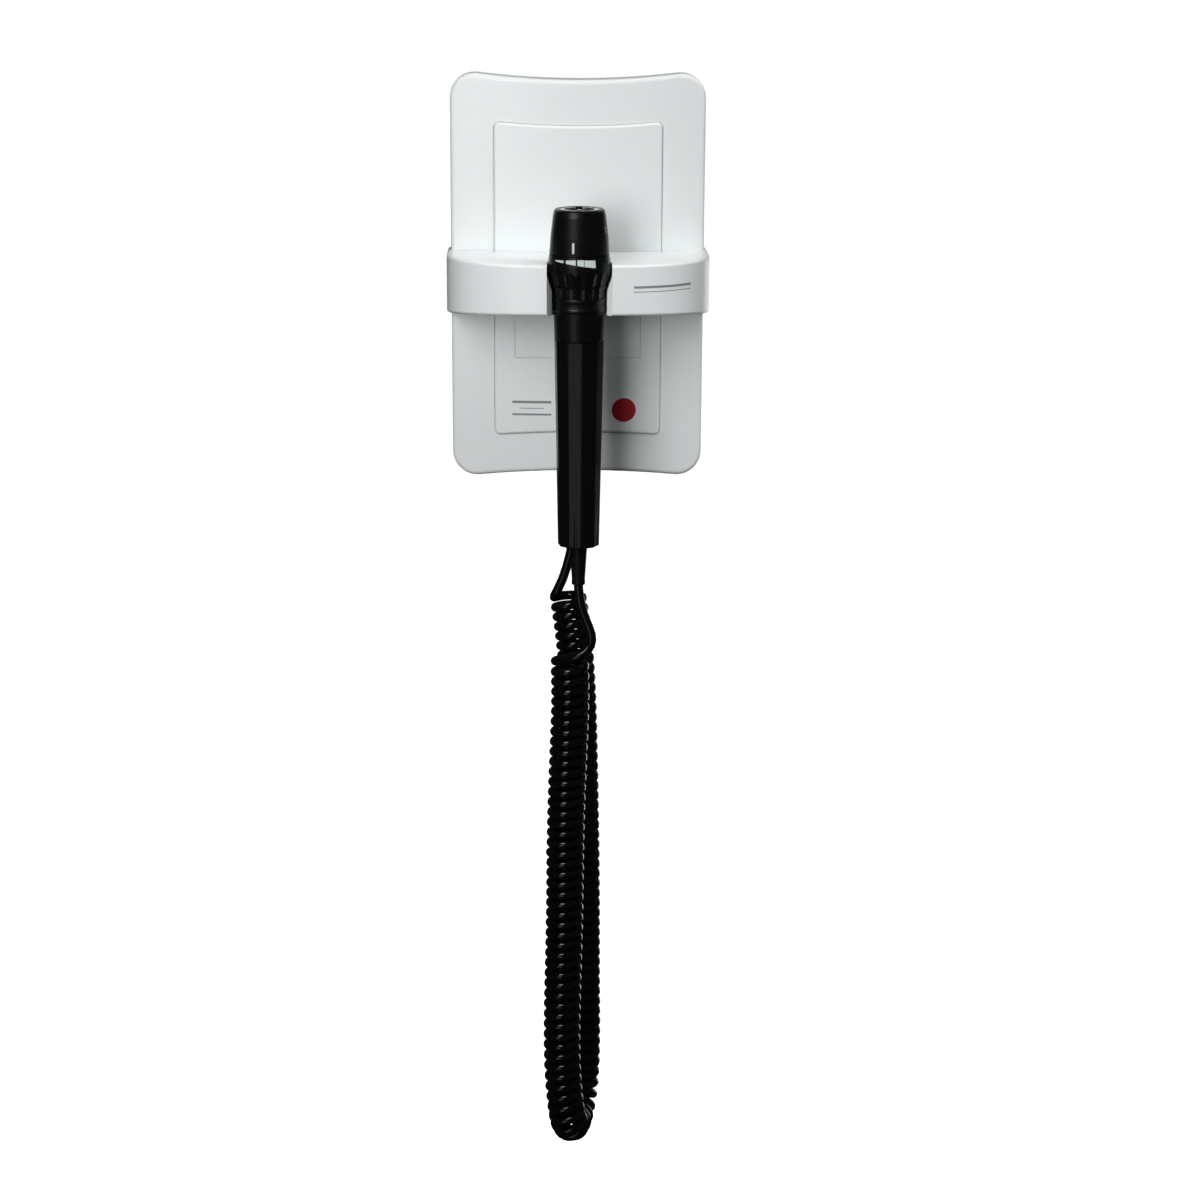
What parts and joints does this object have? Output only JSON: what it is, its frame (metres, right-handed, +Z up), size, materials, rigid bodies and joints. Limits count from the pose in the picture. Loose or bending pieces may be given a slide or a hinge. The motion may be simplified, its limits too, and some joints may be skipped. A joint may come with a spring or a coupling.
{
  "type": "wall-mounted instrument handle station",
  "caption": "Wall-mounted power unit with a cradle that holds one black instrument handle on a coiled cord; the handle has a brightness ring and an open instrument socket.",
  "frame": {"origin": "centre of the four wall-screw holes, on the wall plane", "axes": "+X to the viewer's right, -Y out of the wall towards the viewer, +Z up"},
  "size_m": [0.139, 0.0883, 0.5959],
  "materials": {
    "shell_white": "satin moulded plastic",
    "panel_white": "satin moulded plastic",
    "tray_grey": "moulded plastic",
    "cradle_white": "satin moulded plastic",
    "underside_grey": "moulded plastic",
    "liner_grey": "soft liner",
    "handle_black": "glossy moulded plastic",
    "grip_black": "satin facets",
    "ring_black": "fluted",
    "marking_white": "printed or inlaid mark",
    "inner_black": "moulded plastic",
    "collar_metal": "turned and plated",
    "contact_metal": "plated contact",
    "spring_steel": "drawn wire",
    "screw_steel": "zinc plated",
    "board_green": "solder mask",
    "sleeve_blue": "printed can sleeve",
    "coil_copper": "enamelled winding",
    "sink_aluminium": "extruded",
    "core_dark": "laminated core",
    "terminal_green": "moulded plastic",
    "driver_black": "moulded packages",
    "window_dark": "infrared window",
    "relief_black": "moulded rubber",
    "cord_black": "glossy jacket",
    "track_carbon": "resistive track"
  },
  "bodies": {
    "wall_unit": {"rear_housing": "tray_grey", "front_shell": "shell_white", "upper_panel": "panel_white", "lower_panel": "panel_white", "service_cover": "panel_white", "housing_screws": "screw_steel", "cord_gland": "relief_black", "inner_lead": "cord_black", "cord_clamp": "inner_black", "clamp_screws": "screw_steel", "supply_grommet": "relief_black", "main_board": "board_green", "board_screws": "screw_steel", "capacitors": "sleeve_blue", "inductor": "coil_copper", "heat_sink": "sink_aluminium", "transformer": "core_dark", "terminal_block": "terminal_green", "lead_connector": "marking_white", "cradle_shell": "cradle_white", "seat_liner": "liner_grey", "sensor_window": "window_dark", "sensor_board": "board_green", "cradle_underside": "underside_grey", "underside_fixings": "screw_steel", "cradle_screws": "screw_steel", "wall_lead": "cord_black", "coiled_cord": "cord_black"},
    "handle": {"head_shell": "handle_black", "index_mark": "marking_white", "bayonet_collar": "collar_metal", "contact_insulator": "inner_black", "contact_spring": "spring_steel", "control_core": "inner_black", "detent_spring": "spring_steel", "dimmer_track": "track_carbon", "neck_ring": "handle_black", "upper_sleeve": "handle_black", "grip_body": "grip_black", "strain_relief": "relief_black", "cord_anchor": "inner_black", "handle_inner_lead": "cord_black", "lead_socket": "inner_black", "handle_board": "board_green", "driver_parts": "driver_black", "handle_lead": "cord_black"},
    "dimmer_ring": {"dimmer_ring": "ring_black", "brightness_wedge": "marking_white", "ring_wiper": "contact_metal"},
    "contact_pin": {"contact_pin": "contact_metal"}
  },
  "joints": [
    {"name": "handle_lift", "type": "slide", "parent": "wall_unit", "child": "handle", "axis": [0, -0.342, 0.9397], "range_m": [0, 0.1]},
    {"name": "ring_turn", "type": "hinge", "parent": "handle", "child": "dimmer_ring", "pos_m": [0, -0.072, 0.01], "axis": [0, 0, 1], "range_deg": [-45, 41]},
    {"name": "pin_press", "type": "slide", "parent": "handle", "child": "contact_pin", "axis": [0, 0, -1], "range_m": [0, 0.0012], "stiffness_N_per_m": 400, "springref_m": -0.001, "deforming": ["contact_spring"]}
  ]
}
